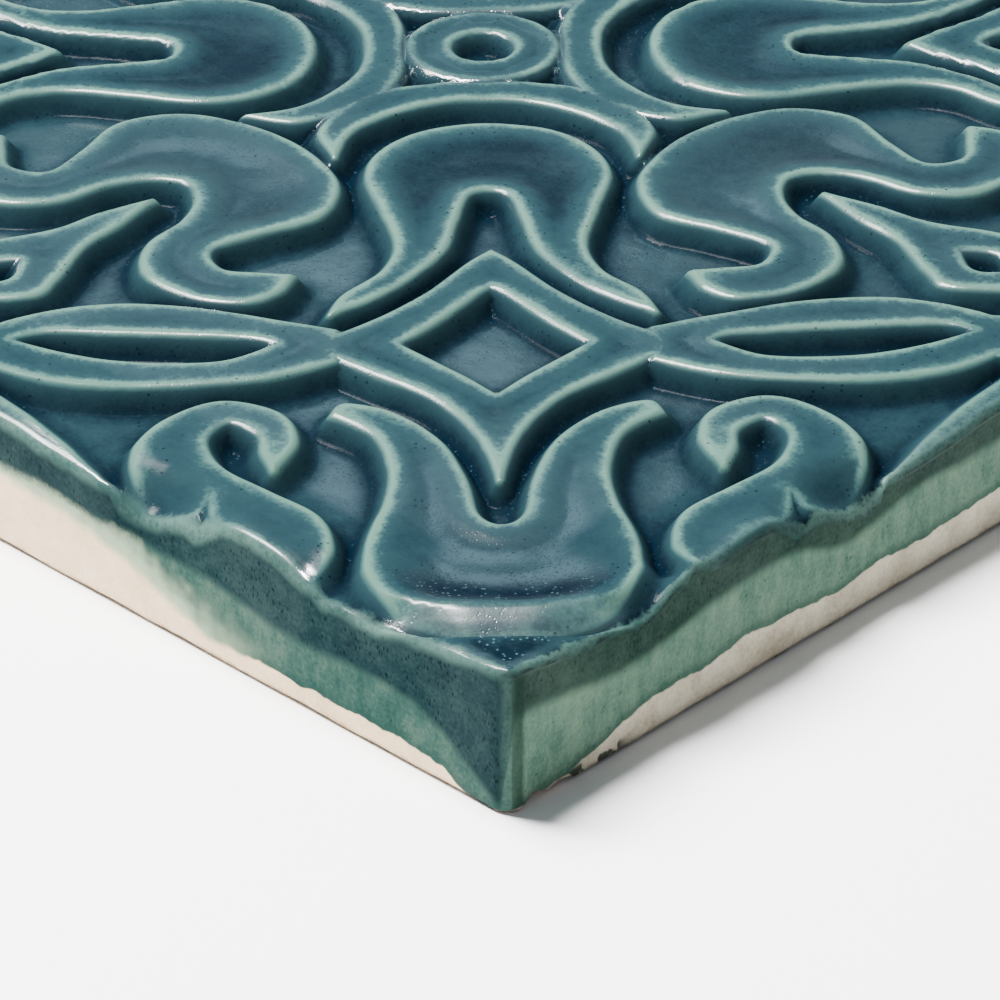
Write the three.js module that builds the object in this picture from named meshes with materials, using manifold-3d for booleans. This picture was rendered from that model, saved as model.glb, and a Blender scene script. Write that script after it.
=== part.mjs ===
// A square ceramic accent tile, fired in one piece: a flat slab whose face carries a moulded
// star, tulip and scroll ornament. Millimetres, +Z up, origin at the centre of the flat back.
import * as THREE from 'three';
import { mergeVertices } from 'three/addons/utils/BufferGeometryUtils.js';
import Module from 'manifold-3d';

const wasm = await Module();
wasm.setup();

// Driving dimensions of the slab
const tileSide = 150; // edge to edge
const groundHeight = 11; // flat back to the sunk ground between the ornaments
const cornerRadius = 2; // the four upright corners
const edgeRound = 0.8; // the rounding along the face and the back

// Driving dimensions of the relief
const reliefHeight = 2; // ground to the crest of an ornament
const wallRun = 0.8; // how far a sloping wall spreads outwards from its crest
const rimSetback = 0.4; // crest to the tile's edge, where the edge cuts an ornament
const rootDepth = 1; // how far each ornament is rooted below the ground
const spandrelFlat = 5; // width of the raised corner's level top, across the diagonal
const spandrelSpan = 20; // width over which that corner falls to the ground
const centreHoleRadius = 3.2; // the eye in the middle of the tile
const centreRingRadius = 7.4; // outside of the ring round that eye

// Fineness of the curves
const curveSteps = 2; // straight steps for each drawn point of an outline
const ringSteps = 28; // straight steps round the eye
const edgeSteps = 2; // steps across the rounded edges
const cornerSteps = 4; // steps round an upright corner

// The ornament is drawn on a grid of a hundred steps to the tile's side. A point is given from
// a corner of the tile: steps across the diagonal, then steps along it towards the centre.
const gridCount = 100;
const gridStep = tileSide / gridCount;
const centreAlong = gridCount * Math.SQRT1_2;

function placeOnTile([across, along]) {
  const x = tileSide / 2 + (across - along) * Math.SQRT1_2 * gridStep;
  const y = -tileSide / 2 + (across + along) * Math.SQRT1_2 * gridStep;
  return new THREE.Vector2(x, y);
}

// The two mirror lines of the pattern: the diagonal, and the line from mid-edge to centre
const overDiagonal = ([across, along]) => [-across, along];
const overMidLine = ([across, along]) => [centreAlong - along, centreAlong - across];

// A point of the mid line, given by its distance from the edge and its offset to one side
const onMidLine = ([inwards, aside]) => [
  centreAlong / 2 - (inwards + aside) * Math.SQRT1_2,
  centreAlong / 2 + (inwards - aside) * Math.SQRT1_2,
];

// A point near the edge, given by its distance along the edge from the corner and inwards
const nearEdge = ([fromCorner, inwards]) => [
  (fromCorner - inwards) * Math.SQRT1_2,
  (fromCorner + inwards) * Math.SQRT1_2,
];

// One curve that crosses a mirror line smoothly, from the half that starts on the line
function throughMirror(half, mirror) {
  const otherHalf = half.slice(1).map(mirror).reverse();
  return [...otherHalf, ...half];
}

// A ring of curves that meet in corners, from the ones on one side of a mirror line
function mirrorRing(curves, mirror) {
  const otherSide = curves.map((curve) => curve.map(mirror).reverse()).reverse();
  return [...curves, ...otherSide];
}

// A closed outline of curves, each smooth through its own points and meeting the next in a corner
function traceCurves(path, curves) {
  const start = placeOnTile(curves[0][0]);
  path.moveTo(start.x, start.y);
  for (const curve of curves) {
    path.splineThru(curve.slice(1).map(placeOnTile));
  }
  return path;
}

function drawShape(outline, hole) {
  const shape = traceCurves(new THREE.Shape(), outline);
  if (hole) {
    shape.holes.push(traceCurves(new THREE.Path(), hole));
  }
  return shape;
}

const flip = (mirror, curves) => curves.map((curve) => curve.map(mirror));

// Tulip in the corner: a bulge towards the corner and two prongs towards the star
function cornerTulip() {
  const outer = [
    [0, 4.7], [2.6, 5.0], [4.8, 6.1], [6.4, 8.2], [7.1, 11.2], [6.8, 14.2], [6.0, 17.2],
    [5.8, 20.6], [6.7, 24.0], [8.9, 26.2],
  ];
  const inner = [
    [0, 14.6], [1.3, 15.8], [1.9, 19.5], [3.2, 23.3], [5.6, 26.2], [8.2, 27.3], [8.9, 26.2],
  ];
  return drawShape([throughMirror(outer, overDiagonal), throughMirror(inner, overDiagonal).reverse()]);
}

// Raised corner of the face, hollowed round the tulip's bulge
function cornerSpandrel() {
  const end = [7.0, 5.2];
  const outside = [7.0, -2.0];
  const hollow = [[0, 3.4], [2.6, 3.6], [5.0, 4.2], end];
  return drawShape([
    throughMirror(hollow, overDiagonal),
    [end, outside],
    [outside, overDiagonal(outside)],
    [overDiagonal(outside), overDiagonal(end)],
  ]);
}

// Tulip near the centre, its prongs towards the star too
function innerTulip() {
  const outer = [
    [0, 60.3], [3.8, 59.4], [6.3, 56.9], [7.1, 53.6], [6.2, 49.6], [5.4, 45.4],
    [6.2, 42.2], [8.3, 39.6], [9.1, 37.4],
  ];
  const inner = [
    [0, 51.9], [1.3, 51.2], [2.0, 48.2], [2.8, 44.4], [4.8, 41.1], [6.9, 38.9], [9.1, 37.4],
  ];
  return drawShape([throughMirror(outer, overDiagonal), throughMirror(inner, overDiagonal).reverse()]);
}

// Four-pointed star ring on the diagonal, with hollow sides
function starRing() {
  const lowerSide = [[0, 19.3], [1.2, 24.0], [3.4, 27.8], [6.6, 30.5], [10.5, 33.6]];
  const upperSide = [[10.5, 33.6], [6.7, 36.5], [3.7, 39.6], [1.5, 42.8], [0, 44.6]];
  const lowerHole = [[0, 28.1], [1.9, 30.3], [5.3, 33.8]];
  const upperHole = [[5.3, 33.8], [3.2, 36.3], [0.9, 39.4], [0, 40.2]];
  return drawShape(
    mirrorRing([lowerSide, upperSide], overDiagonal),
    mirrorRing([lowerHole, upperHole], overDiagonal),
  );
}

// Lens-shaped ring from the star to the crossing by the middle of the edge
const lensOutline = [
  [[8.7, 31.9], [12.6, 30.2], [17.0, 29.5], [21.5, 29.5], [25.7, 30.7], [30.2, 33.8]],
  [[30.2, 33.8], [27.2, 36.8], [22.5, 38.5], [17.6, 38.3], [12.6, 36.8], [8.7, 35.4]],
  [[8.7, 35.4], [8.7, 31.9]],
];
const lensHole = [
  [[12.0, 34.0], [14.0, 34.8], [20.6, 35.4], [24.8, 35.6], [26.8, 34.7]],
  [[26.8, 34.7], [23.4, 33.0], [19.6, 32.0], [15.0, 32.1], [12.0, 34.0]],
];

// Band from that crossing over the mid line, a plain end to the two rings that meet there
function crossingBand() {
  const outer = [[34.0, 36.7], [31.6, 36.0], [27.6, 36.4]];
  const inner = [[36.4, 34.3], [32.6, 33.0], [27.8, 31.9]];
  const side = [[27.6, 36.4], [27.8, 31.9]];
  return drawShape([
    throughMirror(outer, overMidLine),
    side,
    throughMirror(inner, overMidLine).reverse(),
    side.map(overMidLine).reverse(),
  ]);
}

// Arc over the inner tulip, one of the four that meet round the centre
function centreArc() {
  const outer = [[0, 65.7], [3.0, 65.7], [6.2, 64.7], [8.6, 62.4], [9.9, 59.4], [9.0, 56.3]];
  const inner = [[0, 63.6], [3.0, 63.2], [5.9, 61.6], [8.1, 59.3], [9.0, 56.3]];
  return drawShape([throughMirror(outer, overDiagonal), throughMirror(inner, overDiagonal).reverse()]);
}

// Scroll across the mid line, with a curled arm on both sides
function midScroll() {
  const back = [
    [12.0, 58.7], [9.9, 55.8], [8.8, 52.4], [9.9, 48.8], [13.2, 46.9], [16.0, 44.9],
    [15.3, 42.6], [13.0, 42.1], [11.3, 41.9],
  ];
  const front = [
    [17.6, 53.1], [17.0, 51.0], [17.7, 48.5], [19.6, 45.6], [19.6, 42.2], [17.0, 39.5],
    [13.9, 38.7], [12.0, 40.0], [11.3, 41.9],
  ];
  return drawShape([throughMirror(back, overMidLine), throughMirror(front, overMidLine).reverse()]);
}

// Spade-shaped leaf on the mid line, pierced by a drop
function midLeaf() {
  const side = [[5.6, 0], [9.6, 3.5], [12.0, 3.1], [15.7, 1.4], [19.0, 0.9], [22.4, 0]];
  const drop = [[12.2, 0], [10.8, 1.1], [9.6, 1.1], [8.5, 0]];
  const overAxis = ([inwards, aside]) => [inwards, -aside];
  return drawShape(
    flip(onMidLine, mirrorRing([side], overAxis)),
    flip(onMidLine, mirrorRing([drop], overAxis)),
  );
}

// Half leaf along the edge, running up to the mid line
const edgeLeafOutline = flip(nearEdge, [
  [[29.5, 0], [34.0, 0.9], [40.0, 1.4], [46.0, 1.7], [51.0, 1.9]],
  [[51.0, 1.9], [51.0, -1.0]],
  [[51.0, -1.0], [29.5, -1.0]],
  [[29.5, -1.0], [29.5, 0]],
]);

// Curled leaf that the edge cuts, with a notch between its lobes
const cornerScrollOutline = [
  [
    [12.0, 20.6], [10.9, 23.4], [11.8, 26.4], [15.0, 27.7], [18.1, 25.6], [19.6, 22.0],
    [18.7, 18.4], [17.6, 15.5],
  ],
  [[17.6, 15.5], [15.9, 15.9], [15.2, 17.3]],
  [[15.2, 17.3], [14.9, 15.4], [14.2, 13.0]],
  [[14.2, 13.0], [9.4, 8.8]],
  [
    [9.4, 8.8], [8.7, 12.4], [9.6, 15.6], [12.0, 18.0], [14.8, 20.7], [15.7, 23.6],
    [14.5, 25.4], [12.9, 24.2], [12.6, 22.2], [12.0, 20.6],
  ],
];

// Solids
function toSolid(geometry) {
  const bare = geometry.clone();
  bare.deleteAttribute('normal');
  bare.deleteAttribute('uv');
  const merged = mergeVertices(bare, 1e-4);
  return new wasm.Manifold(new wasm.Mesh({
    numProp: 3,
    vertProperties: new Float32Array(merged.attributes.position.array),
    triVerts: new Uint32Array(merged.index.array),
  }));
}

function toGeometry(solid) {
  const mesh = solid.getMesh();
  const geometry = new THREE.BufferGeometry();
  geometry.setAttribute('position', new THREE.BufferAttribute(mesh.vertProperties, 3));
  geometry.setIndex(new THREE.BufferAttribute(mesh.triVerts, 1));
  geometry.computeVertexNormals();
  return geometry;
}

function roundedSquare(side, radius) {
  const middle = side / 2 - radius;
  const quarter = Math.PI / 2;
  const shape = new THREE.Shape();
  shape.absarc(middle, middle, radius, 0, quarter);
  shape.absarc(-middle, middle, radius, quarter, 2 * quarter);
  shape.absarc(-middle, -middle, radius, 2 * quarter, 3 * quarter);
  shape.absarc(middle, -middle, radius, 3 * quarter, 4 * quarter);
  return shape;
}

function slab() {
  const geometry = new THREE.ExtrudeGeometry(roundedSquare(tileSide, cornerRadius), {
    depth: groundHeight - 2 * edgeRound,
    bevelThickness: edgeRound,
    bevelSize: edgeRound,
    bevelOffset: -edgeRound,
    bevelSegments: edgeSteps,
    curveSegments: cornerSteps,
  });
  return toSolid(geometry.translate(0, 0, edgeRound));
}

// A raised ornament, its walls sloping down from the crest to a root below the ground
const rootSpread = wallRun * (reliefHeight + rootDepth) / reliefHeight;

function raise(shape) {
  const geometry = new THREE.ExtrudeGeometry(shape, {
    depth: rootDepth,
    bevelThickness: reliefHeight + rootDepth,
    bevelSize: rootSpread,
    bevelSegments: 1,
    curveSegments: curveSteps,
  });
  return geometry.translate(0, 0, groundHeight - 2 * rootDepth);
}

// The raised corner, its top falling to the ground on both sides of the diagonal
function slopedSpandrel() {
  const crest = groundHeight + reliefHeight;
  const root = groundHeight - rootDepth;
  const ridge = new THREE.Shape([
    new THREE.Vector2(-spandrelSpan / 2, root),
    new THREE.Vector2(spandrelSpan / 2, root),
    new THREE.Vector2(spandrelSpan / 2, groundHeight),
    new THREE.Vector2(spandrelFlat / 2, crest),
    new THREE.Vector2(-spandrelFlat / 2, crest),
    new THREE.Vector2(-spandrelSpan / 2, groundHeight),
  ]);
  const prism = new THREE.ExtrudeGeometry(ridge, { depth: tileSide, bevelEnabled: false });
  prism.rotateX(Math.PI / 2).rotateZ(Math.PI / 4);
  return toSolid(raise(cornerSpandrel())).intersect(toSolid(prism));
}

// Ring round the eye of the tile, turned from its section
function centreRing() {
  const crest = groundHeight + reliefHeight;
  const root = groundHeight - rootDepth;
  const section = [
    new THREE.Vector2(centreHoleRadius - rootSpread, root),
    new THREE.Vector2(centreRingRadius + rootSpread, root),
    new THREE.Vector2(centreRingRadius, crest),
    new THREE.Vector2(centreHoleRadius, crest),
    new THREE.Vector2(centreHoleRadius - rootSpread, root),
  ];
  return toSolid(new THREE.LatheGeometry(section, ringSteps).rotateX(Math.PI / 2));
}

// What the rim leaves of the ornaments
function faceLimit() {
  const side = tileSide - 2 * rimSetback;
  const geometry = new THREE.ExtrudeGeometry(roundedSquare(side, cornerRadius - rimSetback), {
    depth: rootDepth + 2 * reliefHeight,
    bevelEnabled: false,
    curveSegments: cornerSteps,
  });
  return toSolid(geometry.translate(0, 0, groundHeight - rootDepth - reliefHeight / 2));
}

function relief() {
  const sideOrnaments = [[lensOutline, lensHole], [edgeLeafOutline], [cornerScrollOutline]];
  const quarter = [
    cornerTulip(), innerTulip(), starRing(), centreArc(), midScroll(), midLeaf(), crossingBand(),
  ];
  for (const [outline, hole] of sideOrnaments) {
    quarter.push(drawShape(outline, hole));
    quarter.push(drawShape(flip(overDiagonal, outline), hole && flip(overDiagonal, hole)));
  }
  const ornaments = [...quarter.map((shape) => toSolid(raise(shape))), slopedSpandrel()];
  let solid = centreRing();
  for (const ornament of ornaments) {
    for (let turn = 0; turn < 4; turn += 1) {
      solid = solid.add(ornament.rotate([0, 0, turn * 90]));
    }
  }
  return solid.intersect(faceLimit());
}

const glazedCeramic = new THREE.MeshStandardMaterial({ color: 0x2f6472, roughness: 0.18, metalness: 0 });

const tile = new THREE.Mesh(toGeometry(slab().add(relief())), glazedCeramic);
tile.name = 'tile';

const accentTile = new THREE.Group();
accentTile.name = 'accent_tile';
accentTile.add(tile);

export default accentTile;
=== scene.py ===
import math

import bmesh
import bpy
import numpy as np
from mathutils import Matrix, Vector, noise


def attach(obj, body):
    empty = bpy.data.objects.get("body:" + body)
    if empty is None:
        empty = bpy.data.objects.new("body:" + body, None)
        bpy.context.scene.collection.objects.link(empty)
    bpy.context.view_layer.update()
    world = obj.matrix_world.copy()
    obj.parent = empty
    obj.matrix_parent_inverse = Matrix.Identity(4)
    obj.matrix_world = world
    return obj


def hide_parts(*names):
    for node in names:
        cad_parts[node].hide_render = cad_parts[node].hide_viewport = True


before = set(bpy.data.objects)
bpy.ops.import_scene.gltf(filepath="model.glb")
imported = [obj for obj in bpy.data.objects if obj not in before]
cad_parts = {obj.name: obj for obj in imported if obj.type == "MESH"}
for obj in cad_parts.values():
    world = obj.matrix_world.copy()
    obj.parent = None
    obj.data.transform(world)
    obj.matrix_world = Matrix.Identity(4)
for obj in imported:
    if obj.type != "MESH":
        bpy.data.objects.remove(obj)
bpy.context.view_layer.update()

mm = 0.001

# The camera looks down on the near corner
view = {
    "focalLength": 188.65,                  # mm, on a 36 mm wide sensor
    "standsAt": (301.6, -311.8, 227.4),     # mm
    "looksAt": (57.0, -57.1, 13.0),
}


def setCamera():
    data = bpy.data.cameras.new("camera")
    data.lens = view["focalLength"]
    data.sensor_width = 36
    camera = bpy.data.objects.new("camera", data)
    bpy.context.collection.objects.link(camera)
    camera.location = Vector(view["standsAt"]) * mm
    toward = Vector(view["looksAt"]) * mm - camera.location
    camera.rotation_euler = toward.to_track_quat("-Z", "Y").to_euler()
    bpy.context.scene.camera = camera


setCamera()
print("camera set")

# The tile, in mm, with the same ornament as the solid
tile = {
    "side": 150.0,
    "ground": 11.0,           # height of the sunk ground
    "relief": 2.0,            # ground to crest
    "cornerRadius": 1.6,      # upright corners
    "rimRoll": 0.7,           # radius of the rolled rim
    "crestInset": 0.3,        # from an ornament's outline in to its crest
    "wallRun": 2.2,           # width of an ornament's wall, from the crest
    "ringOuter": 7.0,         # radii of the centre ring
    "ringInner": 3.1,
    "ripple": 0.065,          # height of the waves in the glaze
    "rippleSizes": ((7.0, 1.3, 1.0), (2.8, 5.1, 0.5)),     # length of a wave, seed, share
}
gridStep = tile["side"] / 100
diagonal = math.sqrt(0.5)      # turns a sum of x and y into a way along the diagonal
centreAlong = 100 * diagonal


# Outlines are drawn in hundredths of the side, from a corner: across the diagonal, then along it
def overDiagonal(p):
    return (-p[0], p[1])


def overMidLine(p):
    return (centreAlong - p[1], centreAlong - p[0])


def onMidLine(p):
    return (centreAlong / 2 - (p[0] + p[1]) * diagonal, centreAlong / 2 + (p[0] - p[1]) * diagonal)


def nearEdge(p):
    return ((p[0] - p[1]) * diagonal, (p[0] + p[1]) * diagonal)


def flip(mirror, curves):
    return [[mirror(p) for p in curve] for curve in curves]


def throughMirror(halfCurve, mirror):
    return [mirror(p) for p in reversed(halfCurve[1:])] + halfCurve


def mirrorRing(curves, mirror):
    return curves + [[mirror(p) for p in reversed(curve)] for curve in reversed(curves)]


def smoothCurve(points, steps=8):
    pts = np.array(points, float)
    if len(pts) == 2:
        return pts[:1]
    last = len(pts) - 1
    line = []
    for i in range(last):
        a, b, c, d = pts[max(i - 1, 0)], pts[i], pts[i + 1], pts[min(i + 2, last)]
        for t in np.arange(steps) / steps:
            bend = (2 * a - 5 * b + 4 * c - d) * t * t + (3 * b - a - 3 * c + d) * t ** 3
            line.append(0.5 * (2 * b + (c - a) * t + bend))
    return np.array(line)


def drawLoop(curves):
    return np.concatenate([smoothCurve(curve) for curve in curves]) * gridStep


def tulip(outer, inner):
    return drawLoop([throughMirror(outer, overDiagonal), throughMirror(inner, overDiagonal)[::-1]])


cornerTulip = tulip(
    [(0, 4.8), (3.0, 5.1), (5.4, 6.6), (6.9, 9.6), (7.1, 11.6), (6.8, 14.0), (6.0, 17.2), (5.8, 20.6),
     (6.7, 24.0), (8.9, 26.2)],
    [(0, 14.6), (1.3, 15.8), (1.9, 19.5), (3.2, 23.3), (5.6, 26.2), (8.2, 27.3), (8.9, 26.2)])
innerTulip = tulip(
    [(0, 60.3), (3.8, 59.4), (6.3, 56.9), (7.1, 53.6), (6.2, 49.6), (5.4, 45.4), (6.2, 42.2),
     (8.3, 39.6), (9.1, 37.4)],
    [(0, 51.9), (1.3, 51.2), (2.0, 48.2), (2.8, 44.4), (4.8, 41.1), (6.9, 38.9), (9.1, 37.4)])
starLoop = drawLoop(mirrorRing([
    [(0, 19.3), (1.2, 24.0), (3.4, 27.8), (6.6, 30.5), (10.5, 33.6)],
    [(10.5, 33.6), (6.7, 36.5), (3.7, 39.6), (1.5, 42.8), (0, 44.6)]], overDiagonal))
starHole = drawLoop(mirrorRing([
    [(0, 28.1), (1.9, 30.3), (5.3, 33.8)],
    [(5.3, 33.8), (3.2, 36.3), (0.9, 39.4), (0, 40.2)]], overDiagonal))
lensCurves = [
    [(8.7, 31.9), (12.6, 30.2), (17.0, 29.5), (21.5, 29.5), (25.7, 30.7), (30.2, 33.8)],
    [(30.2, 33.8), (27.2, 36.8), (22.5, 38.5), (17.6, 38.3), (12.6, 36.8), (8.7, 35.4)],
    [(8.7, 35.4), (8.7, 31.9)]]
lensHole = drawLoop([
    [(12.0, 34.0), (14.0, 34.8), (20.6, 35.4), (24.8, 35.6), (26.8, 34.7)],
    [(26.8, 34.7), (23.4, 33.0), (19.6, 32.0), (15.0, 32.1), (12.0, 34.0)]])
crossingSide = [(27.6, 36.4), (27.8, 31.9)]
crossingBand = drawLoop([
    throughMirror([(34.0, 36.7), (31.6, 36.0), (27.6, 36.4)], overMidLine),
    crossingSide,
    throughMirror([(36.4, 34.3), (32.6, 33.0), (27.8, 31.9)], overMidLine)[::-1],
    [overMidLine(p) for p in reversed(crossingSide)]])
arcCurves = [
    throughMirror([(0, 65.7), (3.0, 65.7), (6.2, 64.7), (8.6, 62.4), (9.9, 59.4), (9.0, 56.3)],
                  overDiagonal),
    throughMirror([(0, 63.6), (3.0, 63.2), (5.9, 61.6), (8.1, 59.3), (9.0, 56.3)], overDiagonal)[::-1]]
midScroll = drawLoop([
    throughMirror([(12.0, 58.7), (9.9, 55.8), (8.8, 52.4), (9.9, 48.8), (13.2, 46.9), (16.0, 44.9),
                   (15.3, 42.6), (13.0, 42.1), (11.3, 41.9)], overMidLine),
    throughMirror([(17.6, 53.1), (17.0, 51.0), (17.7, 48.5), (19.6, 45.6), (19.6, 42.2), (17.0, 39.5),
                   (13.9, 38.7), (12.0, 40.0), (11.3, 41.9)], overMidLine)[::-1]])
midLeaf = drawLoop(flip(onMidLine, mirrorRing(
    [[(5.6, 0), (9.6, 3.5), (12.0, 3.1), (15.7, 1.4), (19.0, 0.9), (22.4, 0)]],
    lambda p: (p[0], -p[1]))))
leafDrop = drawLoop(flip(onMidLine, mirrorRing(
    [[(8.5, 0), (9.6, 1.1), (10.8, 1.1), (12.2, 0)]], lambda p: (p[0], -p[1]))))
edgeLeaf = drawLoop(flip(nearEdge, [
    [(29.5, 0), (34.0, 0.9), (40.0, 1.4), (46.0, 1.7), (51.0, 1.9)],
    [(51.0, 1.9), (51.0, 0.15)],
    [(51.0, 0.15), (29.5, 0.15)],
    [(29.5, 0.15), (29.5, 0)]]))
cornerScroll = drawLoop([
    [(12.0, 20.6), (10.9, 23.4), (11.8, 26.4), (15.0, 27.7), (18.1, 25.6), (19.6, 22.0), (18.7, 18.9)],
    [(18.7, 18.9), (17.0, 17.2)],
    [(17.0, 17.2), (16.0, 17.0), (15.4, 17.9)],
    [(15.4, 17.9), (15.2, 16.2), (14.6, 14.8)],
    [(14.6, 14.8), (10.0, 10.2)],
    [(10.0, 10.2), (8.9, 12.4), (9.6, 15.6), (12.0, 18.0), (14.8, 20.7), (15.7, 23.6), (14.5, 25.4),
     (12.9, 24.2), (12.6, 22.2), (12.0, 20.6)]])


softness = 1.5      # per mm, how fast the closeness of an outline falls off


# How far points lie inside an outline (negative outside), and the closeness of all of it to them
def outlineField(px, py, loop, farOff=5.0):
    signed = np.full(px.shape, -farOff)
    close = np.zeros(px.shape)
    low, high = loop.min(0) - farOff, loop.max(0) + farOff
    near = (px > low[0]) & (px < high[0]) & (py > low[1]) & (py < high[1])
    x, y = px[near], py[near]
    best, sums, inside = np.full(x.shape, 1e9), np.zeros(x.shape), np.zeros(x.shape, bool)
    for (x0, y0), (x1, y1) in zip(loop, np.roll(loop, -1, 0)):
        ex, ey = x1 - x0, y1 - y0
        long = ex * ex + ey * ey
        if long < 1e-12:
            continue
        t = np.clip(((x - x0) * ex + (y - y0) * ey) / long, 0, 1)
        r = np.hypot(x - x0 - t * ex, y - y0 - t * ey)
        best = np.minimum(best, r)
        sums += np.exp(-softness * r) * math.sqrt(long)
        if y0 != y1:
            inside ^= ((y0 > y) != (y1 > y)) & (x < x0 + (y - y0) * ex / ey)
    signed[near] = np.where(inside, best, -best)
    close[near] = sums * softness / 2
    return signed, close


def softDistance(close):
    return np.maximum(-np.log(np.clip(close, 1e-6, 1)) / softness, 0)


def smoothStep(low, high, value):
    t = np.clip((value - low) / (high - low), 0, 1)
    return t * t * (3 - 2 * t)


# Every eighth of the face is the same, so a point is folded into the one by the near corner
def foldPoint(x, y):
    farX, farY = np.abs(x), np.abs(y)
    across = (farX - farY) * diagonal
    along = tile["side"] * diagonal - (farX + farY) * diagonal
    return np.abs(across), along


def ornamentFields(across, along):
    def field(loop):
        return outlineField(across, along, loop)

    def pierced(outer, hole):
        (d, close), (dHole, closeHole) = field(outer), field(hole)
        return np.minimum(d, -dHole), close + closeHole

    def union(*fields):
        d = np.maximum.reduce([f[0] for f in fields])
        return d, np.minimum.reduce([np.where(f[0] > -0.3, f[1], 1e3) for f in fields])

    lens, farLens = drawLoop(lensCurves), drawLoop(flip(overMidLine, lensCurves))
    star = pierced(starLoop, starHole)
    bands = union(star, pierced(lens, lensHole), field(farLens), field(crossingBand))
    bands = (np.minimum(bands[0], -field(starHole)[0]), bands[1])
    centre = np.hypot(across, along - tile["side"] * diagonal)
    ring = np.minimum(tile["ringOuter"] - centre, centre - tile["ringInner"])
    arcs = union(field(drawLoop(arcCurves)), field(drawLoop(flip(overMidLine, arcCurves))),
                 (ring, np.exp(-softness * np.maximum(ring, 0))))
    return {
        "bands": bands, "arcs": arcs, "leaf": pierced(midLeaf, leafDrop),
        "cornerTulip": field(cornerTulip), "innerTulip": field(innerTulip),
        "midScroll": field(midScroll), "cornerScroll": field(cornerScroll), "edgeLeaf": field(edgeLeaf),
    }


def crestOf(fields):
    return np.maximum.reduce([field[0] for field in fields.values()])


# Depth of the hollow in each ornament's top, and how far in it has half that depth
hollowTops = {
    "bands": (0.55, 1.5), "arcs": (0.55, 1.5), "leaf": (0.55, 1.5), "edgeLeaf": (0.55, 1.5),
    "cornerTulip": (0.75, 2.2), "innerTulip": (0.85, 2.2),
    "midScroll": (0.7, 2.0), "cornerScroll": (0.6, 1.8),
}
edgeLeafShare = 0.85      # the leaf along the edge is lower than the rest

# The corner tulip's front is rolled over, and a soft ridge runs round its notch
bulge = {
    "crestInset": 3.8,        # added to the tile's
    "wallRun": 2.5,
    "frontEnd": 10.6,         # along the diagonal from the corner
    "frontBlend": 0.7,
    "ridgeHeight": 0.10,
    "ridgeWidth": 1.3,
    "ridgeInset": (0.2, 2.2),
}
notchRidge = np.array([(0, 11.1), (2.3, 11.5), (3.5, 12.9), (4.2, 15.6), (4.2, 18.5)]) * gridStep

# The raised corner of the face, outside a circle round the tulip's bulge
spandrel = {
    "circle": 14.2,
    "centre": 19.7,
    "span": 10.4,
    "wallRun": 1.1,
    "endsBefore": 5.0,        # short of the circle's centre
    "hollowDepth": 0.42,
    "hollowOut": 2.3,         # outside the circle
    "hollowWidth": 1.5,
    "hollowSpan": 7.0,
}


# An ornament's section: a wall by its outline, a rounded crest and a hollow top inside.
# A rolled part has its crest farther in, and a longer wall that bends all the way down
def raised(field, name, rolled=0.0):
    depth, reach = hollowTops[name]
    crestInset = tile["crestInset"] + bulge["crestInset"] * rolled
    d = field[0] - crestInset
    soft = np.maximum(softDistance(field[1]) - crestInset, 0)
    t = np.clip(-d / (tile["wallRun"] + bulge["wallRun"] * rolled), 0, 1)
    wall = tile["relief"] * ((1 - rolled) * (1 + np.cos(math.pi * t)) / 2 + rolled * (1 - t * t))
    hollow = depth * (1 - 1 / (1 + (soft / reach) ** 2))
    return np.where(d > 0, tile["relief"] - hollow, wall)


def spandrelHeight(across, along):
    out = np.hypot(across, along - spandrel["centre"]) - spandrel["circle"]
    top = tile["relief"] * np.clip(1 - (across / spandrel["span"]) ** 2, 0, 1)
    hollow = spandrel["hollowDepth"] * np.exp(
        -((out - spandrel["hollowOut"]) / spandrel["hollowWidth"]) ** 2
        - (across / spandrel["hollowSpan"]) ** 2)
    t = np.clip(-out / spandrel["wallRun"], 0, 1)
    height = np.where(out > 0, top - hollow, top * (1 + np.cos(math.pi * t)) / 2)
    return np.where(along < spandrel["centre"] - spandrel["endsBefore"], height, 0)


# Walls that meet leave a rounded groove
def joined(heights, sharp=6):
    return sum(np.maximum(height, 0) ** sharp for height in heights) ** (1 / sharp)


def lineDistance(px, py, line):
    best = np.full(px.shape, 1e9)
    for (x0, y0), (x1, y1) in zip(line[:-1], line[1:]):
        ex, ey = x1 - x0, y1 - y0
        t = np.clip(((px - x0) * ex + (py - y0) * ey) / (ex * ex + ey * ey), 0, 1)
        best = np.minimum(best, np.hypot(px - x0 - t * ex, py - y0 - t * ey))
    return best


def waves(x, y, size, seed):
    flat = zip(np.ravel(x) / size, np.ravel(y) / size)
    return np.array([noise.noise(Vector((a, b, seed))) for a, b in flat]).reshape(np.shape(x))


def faceHeight(x, y):
    across, along = foldPoint(x, y)
    fields = ornamentFields(across, along)
    front = 1 / (1 + np.exp((along - bulge["frontEnd"]) / bulge["frontBlend"]))
    inTulip = smoothStep(*bulge["ridgeInset"], fields["cornerTulip"][0])
    fromRidge = lineDistance(across, along, notchRidge)
    ridge = bulge["ridgeHeight"] * np.exp(-(fromRidge / bulge["ridgeWidth"]) ** 2)
    heights = [raised(fields[name], name)
               for name in ("bands", "arcs", "leaf", "innerTulip", "midScroll", "cornerScroll")]
    heights.append(raised(fields["edgeLeaf"], "edgeLeaf") * edgeLeafShare)
    heights.append(raised(fields["cornerTulip"], "cornerTulip", front) + inTulip * ridge)
    heights.append(spandrelHeight(across, along))
    ripple = sum(share * waves(x, y, size, seed) for size, seed, share in tile["rippleSizes"])
    return joined(heights) + tile["ripple"] * ripple, crestOf(fields)


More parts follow.
